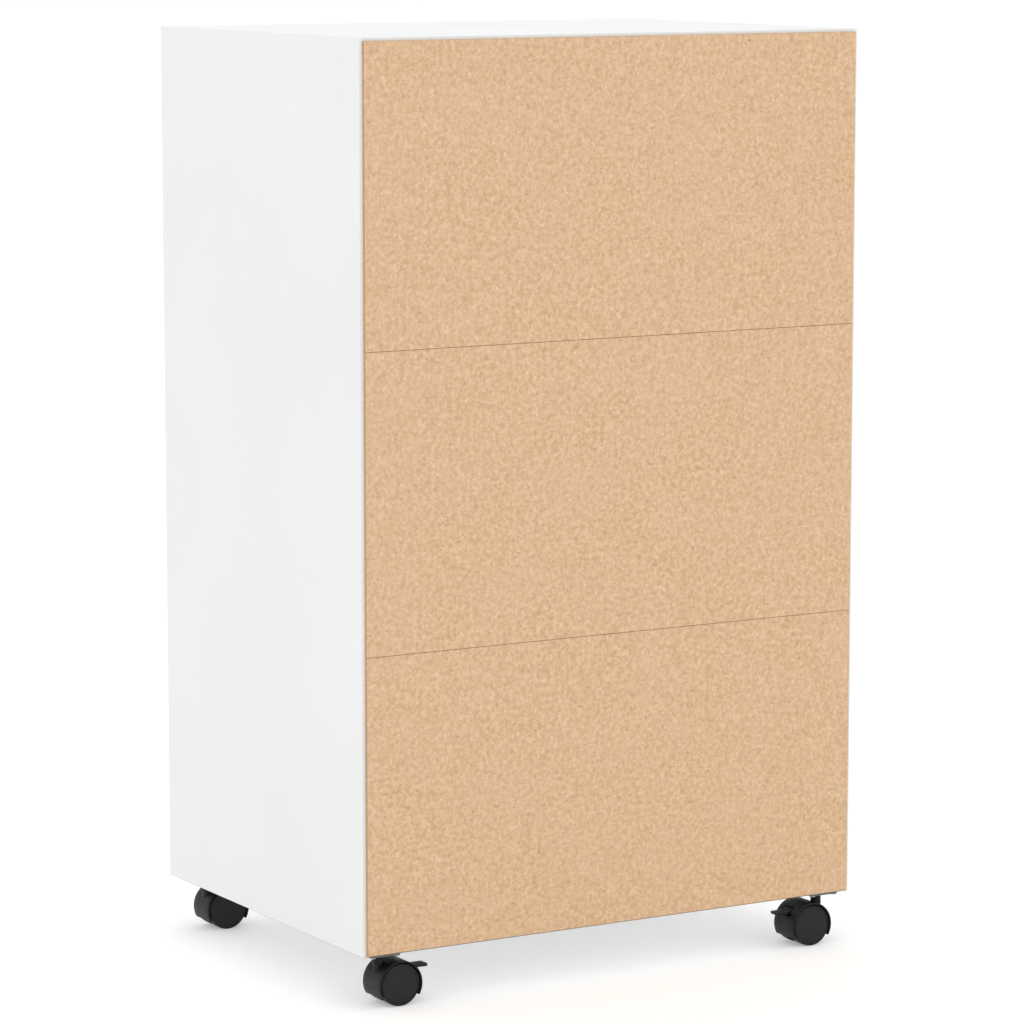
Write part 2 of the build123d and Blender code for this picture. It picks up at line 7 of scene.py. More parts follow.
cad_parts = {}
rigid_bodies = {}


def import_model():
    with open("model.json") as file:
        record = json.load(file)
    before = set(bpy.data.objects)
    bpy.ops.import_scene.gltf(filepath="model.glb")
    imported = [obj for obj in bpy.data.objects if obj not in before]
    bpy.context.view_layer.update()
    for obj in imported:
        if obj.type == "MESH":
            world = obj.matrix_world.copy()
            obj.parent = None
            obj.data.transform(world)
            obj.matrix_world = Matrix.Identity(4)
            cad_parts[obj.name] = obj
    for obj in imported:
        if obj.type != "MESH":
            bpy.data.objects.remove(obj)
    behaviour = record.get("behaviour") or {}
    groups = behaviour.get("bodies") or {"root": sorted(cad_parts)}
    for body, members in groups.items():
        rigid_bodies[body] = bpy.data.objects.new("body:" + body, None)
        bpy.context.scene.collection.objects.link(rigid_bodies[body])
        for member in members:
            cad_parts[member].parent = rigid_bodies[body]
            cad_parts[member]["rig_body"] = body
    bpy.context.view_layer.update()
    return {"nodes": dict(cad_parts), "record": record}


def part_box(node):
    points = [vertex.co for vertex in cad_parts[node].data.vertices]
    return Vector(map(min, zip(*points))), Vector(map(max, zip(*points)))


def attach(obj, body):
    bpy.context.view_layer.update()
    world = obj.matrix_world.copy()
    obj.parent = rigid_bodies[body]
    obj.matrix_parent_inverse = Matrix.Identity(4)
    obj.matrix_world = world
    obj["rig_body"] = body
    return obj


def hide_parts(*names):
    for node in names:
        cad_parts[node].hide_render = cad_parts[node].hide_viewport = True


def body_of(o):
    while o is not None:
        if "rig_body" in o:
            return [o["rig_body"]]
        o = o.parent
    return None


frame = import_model()
DRAWERS = ("bottom", "middle", "top")
CASTORS = ("front_left", "front_right", "rear_left", "rear_right")
MM = 0.001
SMOOTH_ANGLE = math.radians(38)      # edges that turn more than this are shaded sharp
BEVEL_ANGLE = math.radians(32)       # edges that turn more than this are bevelled
ON_AXIS = 1e-7                       # a smaller radius is a point on the axis


# ---------------------------------------------------------------- material helpers
class Shader:
    """A node material under construction: a Principled shader and short ways to add nodes to it."""

    def __init__(self, name, roughness=0.5, metallic=0.0, specular=0.5):
        self.material = bpy.data.materials.new(name)
        self.material.use_nodes = True
        self.tree = self.material.node_tree
        self.principled = self.tree.nodes["Principled BSDF"]
        self.set("Roughness", roughness)
        self.set("Metallic", metallic)
        self.set("Specular IOR Level", specular)
        self.place = self.node("ShaderNodeTexCoord").outputs["Object"]

    def node(self, kind, **settings):
        made = self.tree.nodes.new(kind)
        for key, value in settings.items():
            setattr(made, key, value)
        return made

    def link(self, source, target):
        self.tree.links.new(source, target)

    def feed(self, socket, value):
        """Puts a number, a colour or another node's output on a socket."""
        if isinstance(value, bpy.types.NodeSocket):
            self.link(value, socket)
        else:
            socket.default_value = value

    def set(self, name, value):
        self.feed(self.principled.inputs[name], value)

    def scaled(self, factors):
        """Object coordinates stretched by a factor on each axis."""
        mapping = self.node("ShaderNodeMapping")
        mapping.inputs["Scale"].default_value = factors
        self.link(self.place, mapping.inputs["Vector"])
        return mapping.outputs["Vector"]

    def noise(self, size, detail=3.0, roughness=0.55, stretch=(1, 1, 1), seed=0.0):
        """Noise from 0 to 1 whose blotches are about this many metres across."""
        made = self.node("ShaderNodeTexNoise", noise_dimensions="4D")
        self.link(self.scaled(stretch), made.inputs["Vector"])
        made.inputs["W"].default_value = seed
        made.inputs["Scale"].default_value = 1.0 / size
        made.inputs["Detail"].default_value = detail
        made.inputs["Roughness"].default_value = roughness
        return made.outputs["Fac"]

    def specks(self, size, radius, stretch=(1, 1, 1), share=0.5):
        """Small soft-edged dots: 1 in a dot and 0 between. About this share of the cells holds one."""
        cells = self.node("ShaderNodeTexVoronoi", feature="F1")
        self.link(self.scaled(stretch), cells.inputs["Vector"])
        cells.inputs["Scale"].default_value = 1.0 / size
        dot = self.span(cells.outputs["Distance"], radius, radius * 0.45, 0.0, 1.0)
        pick = self.node("ShaderNodeSeparateColor")
        self.link(cells.outputs["Color"], pick.inputs["Color"])
        kept = self.math("LESS_THAN", pick.outputs["Red"], share)
        return self.math("MULTIPLY", dot, kept)

    def math(self, operation, a, b=0.0):
        made = self.node("ShaderNodeMath", operation=operation)
        self.feed(made.inputs[0], a)
        self.feed(made.inputs[1], b)
        return made.outputs[0]

    def span(self, value, low, high, to_low, to_high):
        """Maps a range of values onto another, clamped."""
        made = self.node("ShaderNodeMapRange", clamp=True)
        self.feed(made.inputs["Value"], value)
        made.inputs["From Min"].default_value = low
        made.inputs["From Max"].default_value = high
        made.inputs["To Min"].default_value = to_low
        made.inputs["To Max"].default_value = to_high
        return made.outputs["Result"]

    def mix(self, factor, a, b):
        made = self.node("ShaderNodeMix", data_type="RGBA")
        self.feed(made.inputs["Factor"], factor)
        for socket, value in zip((s for s in made.inputs if s.type == "RGBA"), (a, b)):
            self.feed(socket, (*value, 1.0) if isinstance(value, tuple) and len(value) == 3 else value)
        return next(s for s in made.outputs if s.type == "RGBA")

    def bump(self, height, distance, strength=1.0, normal=None):
        """A bump whose full height is this many metres."""
        made = self.node("ShaderNodeBump")
        self.feed(made.inputs["Height"], height)
        made.inputs["Distance"].default_value = distance
        made.inputs["Strength"].default_value = strength
        if normal is not None:
            self.link(normal, made.inputs["Normal"])
        return made.outputs["Normal"]


def srgb(red, green, blue):
    """A linear colour from 8-bit screen values."""
    def linear(c):
        c /= 255
        return c / 12.92 if c <= 0.04045 else ((c + 0.055) / 1.055) ** 2.4
    return linear(red), linear(green), linear(blue)


# ---------------------------------------------------------------- materials
def white_melamine(name):
    """White melamine on chipboard: satin, with a very fine pearl texture and faint handling marks."""
    s = Shader(name, specular=0.35)
    tone = s.noise(0.16, 2.0, 0.5)
    colour = s.mix(s.span(tone, 0.3, 0.7, 0.0, 1.0), srgb(227, 229, 228), srgb(230, 232, 231))
    dust = s.specks(0.011, 0.045, share=0.12)
    colour = s.mix(s.math("MULTIPLY", dust, 0.10), colour, srgb(196, 192, 184))
    s.set("Base Color", colour)
    smear = s.noise(0.05, 4.0, 0.6, (1, 1, 0.35))
    s.set("Roughness", s.span(smear, 0.3, 0.7, 0.40, 0.52))
    pearl = s.bump(s.noise(0.0011, 2.0, 0.5), 0.00003, 0.4)
    s.set("Normal", s.bump(s.noise(0.03, 2.0, 0.4), 0.00004, 0.2, pearl))
    return s.material


def sawn_edge(name, dark, light):
    """The raw sawn edge of a pressed board: flakes, open hollows painted dark as painted shade, and a rough
    surface.
    """
    s = Shader(name, roughness=0.9, specular=0.15)
    flakes = s.noise(0.0024, 4.0, 0.65, (1, 1, 2.2))
    colour = s.mix(s.span(flakes, 0.35, 0.66, 0.0, 1.0), dark, light)
    # open hollows, painted dark: painted shade inside them, as the mesh has none
    painted_pit_shade = s.specks(0.003, 0.22, share=0.4)
    colour = s.mix(s.math("MULTIPLY", painted_pit_shade, 0.6), colour, srgb(92, 76, 62))
    s.set("Base Color", colour)
    s.set("Roughness", s.span(flakes, 0.3, 0.7, 0.8, 0.95))
    s.set("Normal", s.bump(flakes, 0.0003, 0.7))
    return s.material


def hardboard():
    """Raw hardboard: matted tan fibres, pale flecks, brown bark specks and a soft mottle."""
    s = Shader("hardboard", roughness=0.8, specular=0.15)
    base, pale, deep = srgb(209, 174, 138), srgb(230, 198, 162), srgb(184, 148, 111)
    mottle = s.span(s.noise(0.0042, 3.0, 0.6), 0.34, 0.66, 0.0, 1.0)
    colour = s.mix(mottle, deep, pale)
    colour = s.mix(0.42, colour, base)
    cloud = s.noise(0.055, 3.0, 0.5)
    colour = s.mix(s.span(cloud, 0.3, 0.7, 0.0, 0.4), colour, srgb(214, 180, 146))
    fleck = s.span(s.noise(0.0021, 2.0, 0.55, (1, 1, 0.7), 11.0), 0.57, 0.72, 0.0, 0.6)
    colour = s.mix(fleck, colour, srgb(238, 212, 176))
    tuft = s.span(s.noise(0.0028, 2.0, 0.55, (0.75, 1, 1), 17.0), 0.57, 0.74, 0.0, 0.55)
    colour = s.mix(tuft, colour, srgb(172, 138, 102))
    up_fibres = s.span(s.noise(0.0011, 3.0, 0.6, (1, 1, 0.22), 2.0), 0.54, 0.74, 0.0, 0.35)
    colour = s.mix(up_fibres, colour, pale)
    side_fibres = s.span(s.noise(0.0012, 3.0, 0.6, (0.22, 1, 1), 5.0), 0.54, 0.74, 0.0, 0.35)
    colour = s.mix(side_fibres, colour, deep)
    bark = s.specks(0.0075, 0.13, (1, 1, 0.75), 0.22)
    colour = s.mix(s.math("MULTIPLY", bark, 0.40), colour, srgb(146, 108, 74))
    knots = s.specks(0.046, 0.022, (1, 1, 0.7), 0.25)
    colour = s.mix(s.math("MULTIPLY", knots, 0.85), colour, srgb(104, 70, 42))
    s.set("Base Color", colour)
    fine = s.bump(s.noise(0.0009, 4.0, 0.7), 0.00008, 0.6)
    s.set("Normal", s.bump(mottle, 0.00006, 0.5, fine))
    s.set("Roughness", s.span(s.noise(0.004, 3.0, 0.6), 0.3, 0.7, 0.72, 0.9))
    return s.material


def moulded_black(name, shade, roughness, grain):
    """Black moulded nylon: a fine spark-eroded grain, faint flow marks and slightly paler scuffs."""
    s = Shader(name, specular=0.22)
    flow = s.noise(0.012, 3.0, 0.5, (1, 1, 0.4))
    dark, light = srgb(*[shade - 2] * 3), srgb(*[shade + 3] * 3)
    colour = s.mix(s.span(flow, 0.3, 0.7, 0.0, 1.0), dark, light)
    scuff = s.span(s.noise(0.0035, 5.0, 0.7, (1, 0.3, 1), 7.0), 0.64, 0.84, 0.0, 0.3)
    colour = s.mix(scuff, colour, srgb(62, 61, 60))
    s.set("Base Color", colour)
    s.set("Roughness", s.span(s.noise(0.004, 4.0, 0.6), 0.3, 0.7, roughness - 0.05, roughness + 0.08))
    s.set("Normal", s.bump(s.noise(grain, 2.0, 0.5), 0.00003, 0.5))
    return s.material


def plated_steel(name, colour, roughness):
    """Zinc-plated or brushed steel with fine drawn lines and a cloudy plating."""
    s = Shader(name, metallic=1.0)
    cloud = s.noise(0.01, 3.0, 0.5)
    dull = tuple(c * 0.82 for c in colour)
    s.set("Base Color", s.mix(s.span(cloud, 0.3, 0.7, 0.0, 1.0), colour, dull))
    lines = s.noise(0.0006, 3.0, 0.6, (0.04, 1, 1))
    s.set("Roughness", s.span(lines, 0.3, 0.7, roughness - 0.07, roughness + 0.1))
    s.set("Normal", s.bump(lines, 0.00002, 0.4))
    return s.material


def lacquered_metal(name, colour, roughness):
    """Paint or epoxy over steel: orange peel, small chips of wear and uneven gloss."""
    s = Shader(name, specular=0.4)
    rub = s.span(s.noise(0.004, 4.0, 0.7, (1, 0.12, 1)), 0.6, 0.78, 0.0, 0.5)
    wear_and_shade = tuple(c * 0.68 for c in colour)
    s.set("Base Color", s.mix(rub, colour, wear_and_shade))
    s.set("Roughness", s.span(rub, 0.0, 0.5, roughness, roughness + 0.18))
    s.set("Normal", s.bump(s.noise(0.0018, 2.0, 0.5), 0.00004, 0.5))
    return s.material


def nylon():
    """Milky moulded nylon for the rollers."""
    s = Shader("nylon", specular=0.5)
    cloud = s.span(s.noise(0.006, 3.0, 0.5), 0.3, 0.7, 0.0, 1.0)
    s.set("Base Color", s.mix(cloud, srgb(220, 220, 214), srgb(232, 232, 228)))
    s.set("Roughness", s.span(s.noise(0.002, 3.0, 0.5), 0.3, 0.7, 0.28, 0.42))
    s.set("Normal", s.bump(s.noise(0.0008, 2.0, 0.5), 0.00003, 0.5))
    return s.material


MATERIALS = {
    "white_board": white_melamine("white_melamine"),
    "back_hardboard": hardboard(),
    "drawer_board": white_melamine("white_foil"),
    "drawer_base_board": white_melamine("white_hardboard"),
    "coated_rail_steel": lacquered_metal("rail_epoxy", srgb(230, 230, 227), 0.32),
    "lacquered_pin": lacquered_metal("pin_lacquer", srgb(196, 164, 128), 0.45),
    "roller_nylon": nylon(),
    "handle_metal": plated_steel("brushed_handle", (0.60, 0.60, 0.59), 0.34),
    "zinc_steel": plated_steel("zinc", (0.42, 0.43, 0.45), 0.42),
    "castor_wheel_plastic": moulded_black("wheel_black", 30, 0.46, 0.0006),
    "castor_hood_plastic": moulded_black("hood_black", 20, 0.42, 0.0007),
    "brake_plastic": moulded_black("brake_black", 28, 0.42, 0.0007),
}
PLATE_STEEL = plated_steel("plate_steel", (0.17, 0.175, 0.18), 0.5)
# bare chipboard, darkened so that it also paints the shade under the unbanded edges
CHIPBOARD_EDGE_AND_SHADE = sawn_edge("chipboard_edge_and_shade", srgb(112, 98, 84), srgb(158, 140, 120))
# boards with an edge that has no band, and the way that edge faces; the dark chipboard put there is partly
# painted shade along the edge
RAW_EDGES_WITH_SHADE = {
    "bottom_panel": Vector((0, 1, 0)),
    "side_panel_left": Vector((0, 0, -1)),
    "side_panel_right": Vector((0, 0, -1)),
}
FACING = 0.25                        # least cosine between a face's normal and that direction
SUBPARTS = {entry["node"]: entry for entry in frame["record"]["subparts"]}


def finish_cad_nodes():
    """Gives every node the material of its slot, and bare chipboard on the edges that have no band, darkened
    as painted shade.
    """
    for node, obj in frame["nodes"].items():
        obj.data.materials.clear()
        obj.data.materials.append(MATERIALS[SUBPARTS[node]["material_slot"]])
        if node in RAW_EDGES_WITH_SHADE:
            obj.data.materials.append(CHIPBOARD_EDGE_AND_SHADE)
            for polygon in obj.data.polygons:
                if polygon.normal.dot(RAW_EDGES_WITH_SHADE[node]) > FACING:
                    polygon.material_index = 1
    frame["nodes"]["castor_plates"].data.materials[0] = PLATE_STEEL


# ---------------------------------------------------------------- mesh helpers
def rounded(corners, steps=5):
    """A polyline through (x, y, radius) corners; all but the two ends become arcs of their radius."""
    points = []
    for index, (x, y, radius) in enumerate(corners):
        here = Vector((x, y))
        if radius == 0 or index in (0, len(corners) - 1):
            points.append(here)
            continue
        back = (Vector(corners[index - 1][:2]) - here).normalized()
        ahead = (Vector(corners[index + 1][:2]) - here).normalized()
        half = back.angle(ahead) / 2
        centre = here + (back + ahead).normalized() * radius / math.sin(half)
        first = (here + back * radius / math.tan(half) - centre).normalized()
        last = (here + ahead * radius / math.tan(half) - centre).normalized()
        for step in range(steps + 1):
            points.append(centre + first.slerp(last, step / steps) * radius)
    return points


def in_mm(*corners):
    """Tuples of millimetres as tuples of metres."""
    return [tuple(value * MM for value in corner) for corner in corners]


def bridge(work, first, second, closed=True):
    """Faces between two rows of vertices; a row of one vertex closes the other to a point."""
    count = max(len(first), len(second))
    for i in range(count if closed else count - 1):
        j = (i + 1) % count
        near = (first[i % len(first)], first[j % len(first)])
        far = (second[j % len(second)], second[i % len(second)])
        corners = list(dict.fromkeys(near + far))
        if len(corners) > 2:
            work.faces.new(corners)


def revolve(work, profile, centre, axis, segments):
    """Turns (radius, distance along the axis) points about an axis."""
    axis = Vector(axis).normalized()
    across = axis.orthogonal().normalized()
    up = axis.cross(across)
    rows = []
    for radius, distance in profile:
        foot = Vector(centre) + axis * distance
        if radius < ON_AXIS:
            rows.append([work.verts.new(foot)])
            continue
        row = []
        for i in range(segments):
            angle = math.tau * i / segments
            row.append(work.verts.new(foot + (across * math.cos(angle) + up * math.sin(angle)) * radius))
        rows.append(row)
    for first, second in zip(rows, rows[1:]):
        bridge(work, first, second)


def extrude(work, outline, low, high):
    """A prism: a closed (x, z) outline carried from y = low to y = high."""
    near = [work.verts.new((x, low, z)) for x, z in outline]
    far = [work.verts.new((x, high, z)) for x, z in outline]
    bridge(work, near, far)
    work.faces.new(near)
    work.faces.new(far)


def object_from(work, name, material, bevel=None, thickness=None):
    """Turns a bmesh into a smooth-shaded object.
    thickness makes a skin into an inward shell; bevel rounds its edges."""
    bmesh.ops.recalc_face_normals(work, faces=work.faces)
    mesh = bpy.data.meshes.new(name)
    work.to_mesh(mesh)
    work.free()
    obj = bpy.data.objects.new(name, mesh)
    bpy.context.collection.objects.link(obj)
    if thickness:
        shell = obj.modifiers.new("shell", "SOLIDIFY")
        shell.thickness = thickness
        shell.offset = -1.0
    if bevel:
        edge = obj.modifiers.new("edge", "BEVEL")
        edge.width = bevel
        edge.segments = 3
        edge.limit_method = "ANGLE"
        edge.angle_limit = BEVEL_ANGLE
    if thickness or bevel:
        graph = bpy.context.evaluated_depsgraph_get()
        obj.data = bpy.data.meshes.new_from_object(obj.evaluated_get(graph))
        obj.modifiers.clear()
    obj.data.materials.clear()
    obj.data.materials.append(material)
    obj.data.shade_smooth()
    obj.data.set_sharp_from_angle(angle=SMOOTH_ANGLE)
    return obj


def join(objects, name):
    """Merges finished objects into the first one."""
    work = bmesh.new()
    for obj in objects:
        work.from_mesh(obj.data)
    work.to_mesh(objects[0].data)
    work.free()
    for obj in objects[1:]:
        bpy.data.objects.remove(obj)
    objects[0].name = name
    objects[0].data.set_sharp_from_angle(angle=SMOOTH_ANGLE)
    return objects[0]


def bore(obj, radius, start, end, segments=48):
    """Drills a round hole from start to end through a finished object."""
    start, end = Vector(start), Vector(end)
    length = (end - start).length
    work = bmesh.new()
    revolve(work, [(0, 0), (radius, 0), (radius, length), (0, length)], start, end - start, segments)
    material = obj.data.materials[0]
    drill = object_from(work, "drill", material)
    difference = obj.modifiers.new("bore", "BOOLEAN")
    difference.operation = "DIFFERENCE"
    difference.solver = "EXACT"
    difference.object = drill
    graph = bpy.context.evaluated_depsgraph_get()
    obj.data = bpy.data.meshes.new_from_object(obj.evaluated_get(graph))
    obj.modifiers.clear()
    bpy.data.objects.remove(drill)
    obj.data.materials.clear()
    obj.data.materials.append(material)
    obj.data.set_sharp_from_angle(angle=SMOOTH_ANGLE)


def stand_in(obj, node):
    """obj is shown instead of a CAD node, on its body."""
    (body,) = body_of(frame["nodes"][node])
    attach(obj, body)
    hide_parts(node)


# ---------------------------------------------------------------- back boards
def spread(low, high, low_margin, high_margin, count):
    """Places from low to high, with the second and the last but one at the margins."""
    first, last = low + low_margin, high - high_margin
    inner = [first + (last - first) * i / count for i in range(count + 1)]
    return [low, *inner, high]


BELLIES = {"back_board_bottom": 0.35 * MM, "back_board_middle": 0.5 * MM, "back_board_top": 0.3 * MM}
CHAMFER = 0.2 * MM                   # softening of the sheets' edges
FOOT_ROUNDING = 0.9 * MM                 # softening of the lowest sheet's foot
SHEET_COLUMNS = 24
SHEET_ROWS = 16
FLAT = 0.9                           # a face whose normal has less y than this belongs to an edge


def build_back_boards():
    """Hardboard sheets with sawn, softened edges that belly out a little between the pins.
    The lowest sheet's foot is rounded more, and its underside is painted grey as painted shade."""
    sawn = sawn_edge("hardboard_edge", srgb(176, 142, 108), srgb(204, 168, 132))
    for node, belly in BELLIES.items():
        low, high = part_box(node)
        lowest = node == "back_board_bottom"
        foot = FOOT_ROUNDING if lowest else CHAMFER
        columns = spread(low[0], high[0], CHAMFER, CHAMFER, SHEET_COLUMNS)
        heights = spread(low[2], high[2], foot, CHAMFER, SHEET_ROWS)
        work = bmesh.new()
        borders = []
        for y, sign in ((low[1], 0), (high[1], 1)):
            rows = []
            for j, z in enumerate(heights):
                w = 2 * (z - low[2]) / (high[2] - low[2]) - 1
                row = []
                for i, x in enumerate(columns):
                    u = 2 * (x - low[0]) / (high[0] - low[0]) - 1
                    border = i in (0, len(columns) - 1) or j in (0, len(heights) - 1)
                    sink = foot if j == 0 else CHAMFER if border else 0.0
                    rise = belly * (1 - u ** 4) * (1 - w * w) - sink
                    row.append(work.verts.new((x, y + sign * rise, z)))
                rows.append(row)
            for first, second in zip(rows, rows[1:]):
                bridge(work, first, second, closed=False)
            left, right = [row[0] for row in rows], [row[-1] for row in rows]
            borders.append(rows[0] + right[1:] + rows[-1][-2::-1] + left[-2:0:-1])
        bridge(work, *borders)
        board = object_from(work, node + "_sheet", MATERIALS["back_hardboard"])
        board.data.materials.append(sawn)
        board.data.materials.append(CHIPBOARD_EDGE_AND_SHADE)
        for polygon in board.data.polygons:
            if abs(polygon.normal.y) < FLAT:
                # the lowest sheet's underside gets the dark chipboard: painted shade under its foot
                wear_and_shade = lowest and polygon.normal.z < -0.5
                polygon.material_index = 2 if wear_and_shade else 1
        stand_in(board, node)


# ---------------------------------------------------------------- handles
def build_handles():
    """Bent round bar with a turned foot at each end."""
    radius = 5 * MM
    bend = 12 * MM
    bend_steps = 14
    around = 40
    for name in DRAWERS:
        node = f"drawer_{name}_handle"
        low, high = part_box(node)
        face, bar = high[1], low[1] + radius
        left, right = low[0] + radius, high[0] - radius
        height = (low[2] + high[2]) / 2
        corners = [(left, face, 0), (left, bar, bend), (right, bar, bend), (right, face, 0)]
        path = rounded(corners, bend_steps)
        work = bmesh.new()
        rings = []
        for index, point in enumerate(path):
            ahead = path[min(index + 1, len(path) - 1)] - path[max(index - 1, 0)]
            across = Vector((-ahead.y, ahead.x, 0)).normalized()
            ring = []
            for step in range(around):
                angle = math.tau * step / around
                offset = across * math.cos(angle) * radius + Vector((0, 0, math.sin(angle) * radius))
                ring.append(work.verts.new(Vector((point.x, point.y, height)) + offset))
            rings.append(ring)
        for first, second in zip(rings, rings[1:]):
            bridge(work, first, second)
        work.faces.new(rings[0])
        work.faces.new(rings[-1])
        foot = rounded(in_mm((0, 0, 0), (6.6, 0, 0), (6.6, 1.6, 0.6), (5, 2.2, 0)), 4)
        for x in (left, right):
            revolve(work, foot, (x, face, height), (0, -1, 0), 48)
        handle = object_from(work, f"handle_{name}", MATERIALS["handle_metal"])
        stand_in(handle, node)


# ---------------------------------------------------------------- castors
# Pieces are built with the axle at the origin and the castor trailing to +X, then copied to each castor.
WHEEL_RADIUS = 18.6 * MM
HOOD_OUTER = 20.9 * MM
HOOD_WALL = 1.4 * MM
HOOD_HALF = 15.1 * MM
WEB_HALF = 5.0 * MM
TRAIL = 14.0 * MM
SKIRT = -10.6 * MM           # hood's lower edge from the axle's height
WINDOW = (26.0, 51.0)        # degrees above the trailing side where the brake's shoe shows
WINDOW_HALF = 7.7 * MM
UNDER_SHOE = WHEEL_RADIUS - 0.4 * MM  # the wall's radius below the shoe
NOTCH = (11.5, 79.5)         # degrees between which the wall is cut away for the brake's arm
NOTCH_FOOT = (3.5 * MM, 4.0 * MM)
NOTCH_HALF = 2.4 * MM
PIVOT_X, PIVOT_Z = 8.0 * MM, 10.5 * MM
PIVOT_BORE = 1.45 * MM
AXLE_BORE = 2.52 * MM
STEM_BORE = 4.4 * MM
STEM_BORE_FOOT = -4.4 * MM
STEM_BORE_TOP = 40 * MM      # well clear of the hood
BARREL_STEPS = 72
WALL_STEPS = 96
SHOE_RADIUS = 21.0 * MM
SHOE_HALF = 7.2 * MM
SHOE_START = 32              # degrees above the trailing side
SHOE_SPAN = 15
SHOE_STEPS = 8


def polar(radius, degrees):
    angle = math.radians(degrees)
    return radius * math.cos(angle), radius * math.sin(angle)


def build_barrel(braked):
    """The hood's curved shell, with a window for the shoe if there is a brake."""
    reach = math.degrees(math.asin(-SKIRT / HOOD_OUTER))
    arc = [-reach + (180 + 2 * reach) * i / BARREL_STEPS for i in range(BARREL_STEPS + 1)]
    angles = sorted({*WINDOW, *arc})
    across = [-HOOD_HALF, -WINDOW_HALF, 0.0, WINDOW_HALF, HOOD_HALF]
    work = bmesh.new()
    rows = []
    for angle in angles:
        x, z = polar(HOOD_OUTER, angle)
        rows.append([work.verts.new((x, y, z)) for y in across])
    for k, (first, second) in enumerate(zip(rows, rows[1:])):
        in_window = braked and WINDOW[0] <= angles[k] < WINDOW[1]
        for i in range(len(across) - 1):
            between_sides = i in (1, 2)
            if not (in_window and between_sides):
                work.faces.new([first[i], first[i + 1], second[i + 1], second[i]])
    if braked:
        loose = [v for v in work.verts if not v.link_faces]
        bmesh.ops.delete(work, geom=loose, context="VERTS")
    return object_from(work, "barrel", MATERIALS["castor_hood_plastic"], 0.5 * MM, HOOD_WALL)


def web_outline(braked, notched):
    """The wall between the wheels, cut level at the skirt; the notch leaves room for the brake's arm."""
    outer = HOOD_OUTER - HOOD_WALL / 2
    reach = math.degrees(math.asin(-SKIRT / outer))
    rim = []
    for i in range(WALL_STEPS + 1):
        angle = -reach + (180 + 2 * reach) * i / WALL_STEPS
        in_window = braked and WINDOW[0] <= angle <= WINDOW[1]
        rim.append((angle, polar(UNDER_SHOE if in_window else outer, angle)))
    if not notched:
        return [point for _, point in rim]
    before = [point for angle, point in rim if angle <= NOTCH[0]]
    after = [point for angle, point in rim if angle >= NOTCH[1]]
    return [*before, NOTCH_FOOT, *after]


def build_hood(braked):
    """Barrel, wall and stem socket of one castor."""
    material = MATERIALS["castor_hood_plastic"]
    pieces = [build_barrel(braked)]
    layers = [(-WEB_HALF, WEB_HALF, False)]
    if braked:
        cheeks = [(-WEB_HALF, -NOTCH_HALF, False), (NOTCH_HALF, WEB_HALF, False)]
        layers = [*cheeks, (-NOTCH_HALF, NOTCH_HALF, True)]
    for low_y, high_y, notched in layers:
        work = bmesh.new()
        extrude(work, web_outline(braked, notched), low_y, high_y)
        web = object_from(work, "web", material, None if braked else 0.4 * MM)
        if braked and not notched:
            start, end = (PIVOT_X, low_y - MM, PIVOT_Z), (PIVOT_X, high_y + MM, PIVOT_Z)
            bore(web, PIVOT_BORE, start, end, 32)
        pieces.append(web)
    for piece in pieces:
        bore(piece, STEM_BORE, (-TRAIL, 0, STEM_BORE_FOOT), (-TRAIL, 0, STEM_BORE_TOP), 64)
        if piece.name.startswith("web"):
            bore(piece, AXLE_BORE, (0, -HOOD_HALF, 0), (0, HOOD_HALF, 0))
    # (radius, height, rounding): up the outside, then down the bore past the groove of the stem's clip
    socket = in_mm(
        (0, -4.6, 0), (4.65, -4.6, 0.4), (4.65, 16.6, 0), (4.9, 17.0, 0), (4.9, 18.4, 0),
        (4.65, 18.8, 0), (4.65, 25.8, 0.5), (3.15, 25.8, 0), (3.15, 3.4, 0), (3.95, 3.4, 0),
        (3.95, 1.4, 0), (3.15, 1.4, 0), (3.15, -2.2, 0), (0, -2.2, 0),
    )
    work = bmesh.new()
    revolve(work, rounded(socket, 4), (-TRAIL, 0, 0), (0, 0, 1), 64)
    pieces.append(object_from(work, "socket", material))
    return join(pieces, "hood")


def build_wheel(side):
    """A twin wheel: moulded tread, shut outer disc in a raised rim, hollow inside with a hub."""
    # (radius, distance from the castor's middle, rounding): hub, hollow, tread, rim and the shut disc
    profile = in_mm(
        (0, 13.1, 0), (2.58, 13.1, 0), (2.58, 5.4, 0), (5.1, 5.4, 0.3), (5.1, 13.1, 0.4),
        (15.6, 13.1, 0.6), (15.6, 5.4, 0.3), (18.6, 5.4, 1.0), (18.6, 13.9, 1.2),
        (17.6, 15.1, 0.5), (16.9, 15.1, 0.2), (16.7, 14.5, 0.15), (16.2, 14.5, 0.15),
        (15.9, 14.7, 0.15), (12.0, 14.9, 0), (6.0, 15.05, 0), (0, 15.1, 0),
    )
    work = bmesh.new()
    revolve(work, rounded(profile), (0, 0, 0), (0, side, 0), 128)
    return object_from(work, "wheel", MATERIALS["castor_wheel_plastic"])


def build_shoe():
    """The curved pad of the brake that lies over both treads."""
    work = bmesh.new()
    rows = []
    for i in range(SHOE_STEPS + 1):
        x, z = polar(SHOE_RADIUS, SHOE_START + SHOE_SPAN * i / SHOE_STEPS)
        rows.append([work.verts.new((x, y, z)) for y in (-SHOE_HALF, 0, SHOE_HALF)])
    for first, second in zip(rows, rows[1:]):
        bridge(work, first, second, closed=False)
    return object_from(work, "shoe", MATERIALS["brake_plastic"], 0.35 * MM, 1.5 * MM)


